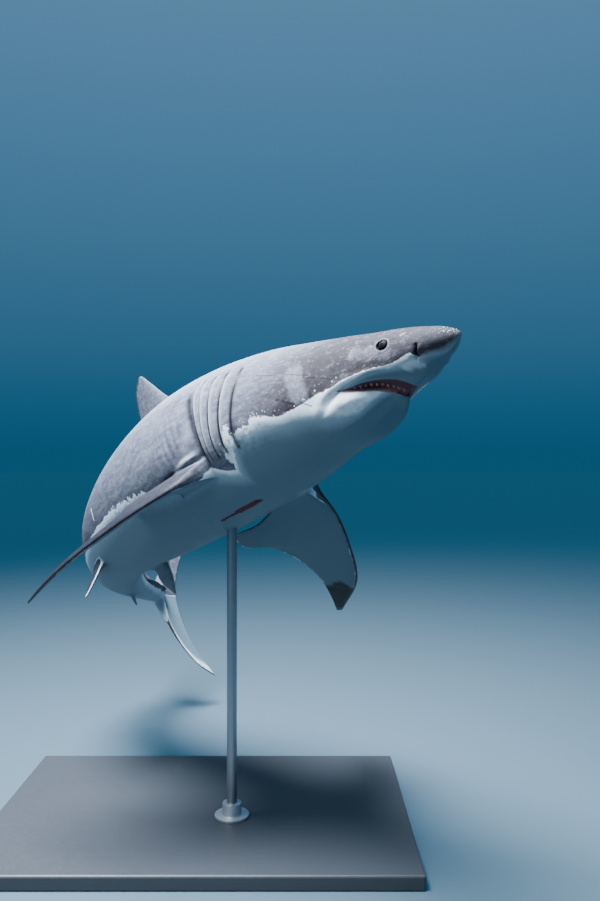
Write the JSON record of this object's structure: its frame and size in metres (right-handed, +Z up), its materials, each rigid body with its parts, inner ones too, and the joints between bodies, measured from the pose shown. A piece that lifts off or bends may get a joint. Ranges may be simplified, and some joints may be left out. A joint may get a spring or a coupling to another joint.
{
  "type": "great white shark",
  "caption": "Life-size still model of a great white shark turning as it swims, mouth slightly open, on a rod and a flat display base.",
  "frame": {"origin": "middle of the stand base's underside, on the floor", "axes": "+Z up; the head points towards +X and -Y, the tail runs back towards +Y"},
  "size_m": [1.8374, 3.2669, 2.0548],
  "materials": {
    "shark_skin": "satin",
    "eye": "gloss",
    "stand_base": "matte",
    "stand_steel": "satin"
  },
  "bodies": {
    "root": {"head": "shark_skin", "lower_jaw": "shark_skin", "shoulders": "shark_skin", "trunk": "shark_skin", "tail_stock": "shark_skin", "caudal_fin": "shark_skin", "pectoral_fin_right": "shark_skin", "pectoral_fin_left": "shark_skin", "dorsal_fin": "shark_skin", "second_dorsal_fin": "shark_skin", "anal_fin": "shark_skin", "pelvic_fin_right": "shark_skin", "pelvic_fin_left": "shark_skin", "eye_right": "eye", "eye_left": "eye", "stand_base": "stand_base", "stand_rod": "stand_steel"}
  },
  "joints": []
}
